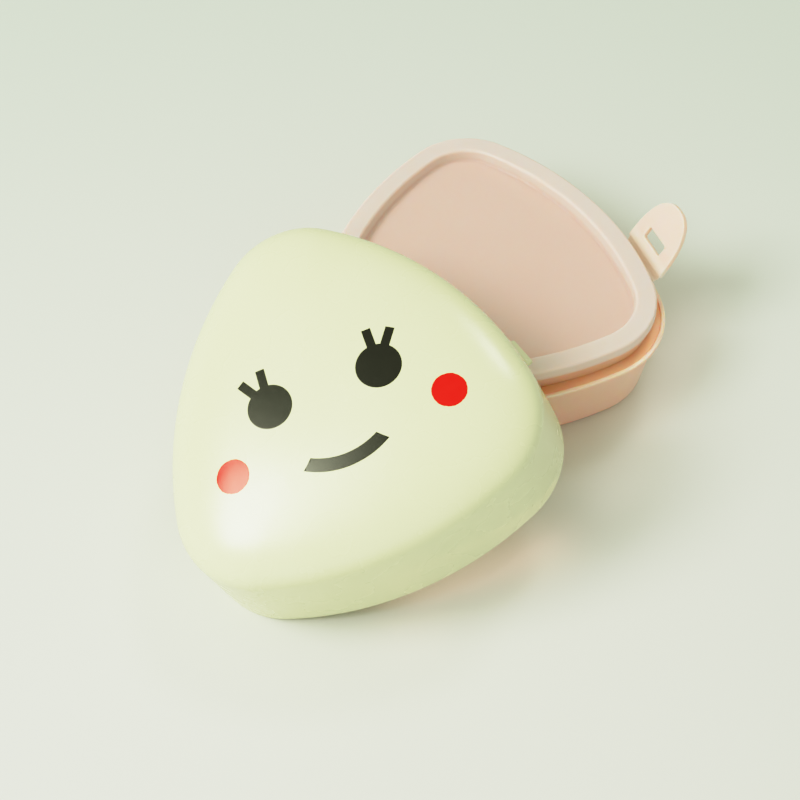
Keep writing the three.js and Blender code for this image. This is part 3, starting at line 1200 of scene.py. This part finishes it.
corners = [(x * FLOOR_HALF, y * FLOOR_HALF) for x, y in ((-1, -1), (1, -1), (1, 1), (-1, 1))]
floor = new_piece("floor", [(x, y, -FLOOR_DROP) for x, y in corners], [(0, 1, 2, 3)])
board, tree, shader, coordinates = moulded(
    "pale board",
    colours=((0.73, 0.74, 0.72), (0.745, 0.755, 0.735)),
    roughness=(0.42, 0.5),
    patch=9,
    peel=500,
    peel_depth=0.01 * MM,
)
distance = tree.nodes.new("ShaderNodeVectorMath")
distance.operation = "DISTANCE"
distance.inputs[1].default_value = PAINTED_LIGHT_SPOT
tree.links.new(coordinates.outputs["Object"], distance.inputs[0])
painted_shade_share = tree.nodes.new("ShaderNodeMapRange")
painted_shade_share.interpolation_type = "SMOOTHSTEP"
painted_shade_share.inputs["From Min"].default_value = PALE_REACH
painted_shade_share.inputs["From Max"].default_value = FAR_REACH
tree.links.new(distance.outputs["Value"], painted_shade_share.inputs["Value"])
near_board = shader.inputs["Base Color"].links[0].from_socket
board_colour = mixed(tree, painted_shade_share.outputs["Result"], near_board, FAR_BOARD_PAINTED_SHADE)
tree.links.new(board_colour, shader.inputs["Base Color"])
floor.data.materials.append(board)
print("floor:", FLOOR_HALF * 2, "m across")

# %% [markdown]
# The camera looks down at about fifty degrees with a long lens, nearly along the case's own axis, and
# it is rolled a few degrees, as a camera in the hand is.

# %% The camera
LENS = 70.77
SENSOR = 36.0
CAMERA_DISTANCE = 523.7 * MM
CAMERA_HEIGHT_ANGLE = math.radians(51.68)
CAMERA_TURN = math.radians(-1.64)
CAMERA_ROLL = math.radians(-4.37)
CAMERA_TARGET = Vector((-14.1, -0.2, 0)) * MM
NEAREST_SEEN = 0.01
FARTHEST_SEEN = 50

camera_data = bpy.data.cameras.new("camera")
camera_data.lens = LENS
camera_data.sensor_width = SENSOR
camera_data.clip_start = NEAREST_SEEN
camera_data.clip_end = FARTHEST_SEEN
camera = bpy.data.objects.new("camera", camera_data)
bpy.context.scene.collection.objects.link(camera)
back = Vector((0, -math.cos(CAMERA_HEIGHT_ANGLE), math.sin(CAMERA_HEIGHT_ANGLE)))
back.rotate(Matrix.Rotation(CAMERA_TURN, 3, "Z"))
camera.location = CAMERA_TARGET + back * CAMERA_DISTANCE
facing = (-back).to_track_quat("-Z", "Y").to_matrix().to_4x4()
roll = Matrix.Rotation(CAMERA_ROLL, 4, "Z")
camera.matrix_world = Matrix.Translation(camera.location) @ facing @ roll
bpy.context.scene.camera = camera
print("camera at", [round(v / MM) for v in camera.matrix_world.translation], "mm")

# %% [markdown]
# One large window on the left gives the broad glare on the cover's low corner and the soft shadows to
# the right. Some of its light comes off a pale curtain and shines without a glare. A weaker, smaller
# window behind draws the streak on the far shoulder, and a warm lamp on the ceiling softens what is left
# in the shade. The curtain and the lamp aren't seen in the gloss, where they would leave spots.

# %% The windows and the lamp
def window(name, turn, height_angle, distance, width, height, power, colour, roll=0):
    """A light that faces the case; turn is from straight behind it, clockwise seen from above."""
    data = bpy.data.lights.new(name, "AREA")
    data.shape = "RECTANGLE"
    data.size = width
    data.size_y = height
    data.energy = power
    data.color = colour
    made = bpy.data.objects.new(name, data)
    bpy.context.scene.collection.objects.link(made)
    turn, height_angle = math.radians(turn), math.radians(height_angle)
    level = math.cos(height_angle)
    way = Vector((math.sin(turn) * level, math.cos(turn) * level, math.sin(height_angle)))
    made.location = way * distance
    made.rotation_mode = "QUATERNION"
    turned = Quaternion((0, 0, 1), math.radians(roll))
    made.rotation_quaternion = way.to_track_quat("Z", "Y") @ turned
    return made


def keep_unseen(light):
    """Lets a light shine without showing in the gloss or to the camera."""
    light.visible_glossy = False
    light.visible_camera = False


DAYLIGHT = (0.97, 1, 0.97)
LAMPLIGHT = (1, 0.88, 0.74)

window("left window", -104, 49, 1.5, width=0.72, height=0.54, power=10, colour=DAYLIGHT, roll=-35)
window("far window", 38, 57, 1.3, width=0.25, height=0.25, power=1.4, colour=DAYLIGHT)
keep_unseen(window("curtain", -110, 52, 1.5, width=0.9, height=0.8, power=6, colour=DAYLIGHT))
keep_unseen(window("ceiling light", 0, 89, 1.5, width=1, height=1, power=1.9, colour=LAMPLIGHT))

# %% [markdown]
# Thin coloured plastic lets some light through, which falls on the table beside it. Real transmission
# would render slowly, so three narrow strips stand for that light. They face down close over the table,
# shine in a narrow fan, and cast no shadow: one beside the cover, one beside the tray, and a nearly
# white one in the corner between the two, where their light meets.

# %% The light through the plastic
STRIP_HEIGHT = 0.03
STRIP_WIDTH = 0.01
STRIP_SPREAD = math.radians(60)
STRIPS = (  # name, place, turn in degrees, length, power and colour
    ("light through cover", (0.0025, -0.0732, 0), 23.5, 0.06, 0.0018, (1, 0.64, 0.56)),
    ("light through tray", (0.078, 0.003, 0), 57, 0.06, 0.0006, (1, 0.82, 0.86)),
    ("light between them", (0.053, -0.043, 0), 45, 0.025, 0.00022, (1, 0.95, 0.95)),
)

for name, place, turn, length, power, colour in STRIPS:
    strip = window(name, 0, 90, STRIP_HEIGHT, width=length, height=STRIP_WIDTH, power=power, colour=colour)
    strip.location += Vector(place)
    strip.rotation_quaternion = Quaternion((0, 0, 1), math.radians(turn))
    strip.data.spread = STRIP_SPREAD
    strip.data.use_shadow = False
    keep_unseen(strip)

# %% [markdown]
# The rest of the room is only a background: bright walls on the camera's side, darker ones behind the
# case, and a ceiling that is darker still. A picture of a real room would do the same, but three mixed
# colours are enough for gloss this soft.

# %% The room
CEILING = (0.31, 0.33, 0.34)
NEAR_WALLS = (1.0, 1.02, 1.05)
FAR_WALLS = (0.38, 0.43, 0.43)
FAR_WAY = (0.64, 0.77, 0)
WALL_BLEND = 0.7
WALL_TOP = 0.1
CEILING_EDGE = 0.85

world = bpy.data.worlds.new("room")
world.use_nodes = True
tree = world.node_tree
way = tree.nodes.new("ShaderNodeTexCoord")
split = tree.nodes.new("ShaderNodeSeparateXYZ")
tree.links.new(way.outputs["Generated"], split.inputs["Vector"])
along_far = tree.nodes.new("ShaderNodeVectorMath")
along_far.operation = "DOT_PRODUCT"
along_far.inputs[1].default_value = FAR_WAY
tree.links.new(way.outputs["Generated"], along_far.inputs[0])
farness = tree.nodes.new("ShaderNodeMapRange")
farness.inputs["From Min"].default_value = -WALL_BLEND
farness.inputs["From Max"].default_value = WALL_BLEND
tree.links.new(along_far.outputs["Value"], farness.inputs["Value"])
walls = mixed(tree, farness.outputs["Result"], NEAR_WALLS, FAR_WALLS)
upwards = tree.nodes.new("ShaderNodeMapRange")
upwards.inputs["From Min"].default_value = WALL_TOP
upwards.inputs["From Max"].default_value = CEILING_EDGE
tree.links.new(split.outputs["Z"], upwards.inputs["Value"])
room = mixed(tree, upwards.outputs["Result"], walls, CEILING)
tree.links.new(room, tree.nodes["Background"].inputs["Color"])
bpy.context.scene.world = world
print("room:", len(tree.nodes), "nodes")

# %% [markdown]
# A camera rolls bright parts off softly, where a plain display cuts them flat. The view's own curve
# does the same here: it lifts the middle tones a little and bends the bright ones. The photograph is
# warm, the more so where it is dark, so the blue curve lies lower, and meets the others at the top.

# %% The tones
BRIGHTEST = 2.0
TONES = (  # scene value, shown value, and the share of it that the blue keeps
    (0.03, 0.022, 0.60),
    (0.1, 0.12, 0.68),
    (0.3, 0.40, 0.75),
    (0.45, 0.55, 0.82),
    (0.6, 0.68, 0.885),
    (0.8, 0.78, 0.93),
    (1.0, 0.84, 0.97),
    (1.3, 0.89, 0.98),
    (BRIGHTEST, 0.96, 1.0),
)

view = bpy.context.scene.view_settings
view.view_transform = "Standard"
view.use_curve_mapping = True
view.curve_mapping.white_level = (BRIGHTEST, BRIGHTEST, BRIGHTEST)
for channel in range(3):
    points = view.curve_mapping.curves[channel].points
    for i, (scene_value, shown, blue_share) in enumerate(TONES, start=1):
        spot = (scene_value / BRIGHTEST, shown * (blue_share if channel == 2 else 1))
        if i < len(TONES):
            points.new(*spot)
        else:
            points[-1].location = spot
view.curve_mapping.update()
print("tones of blue:", [[round(v, 3) for v in p.location] for p in points])
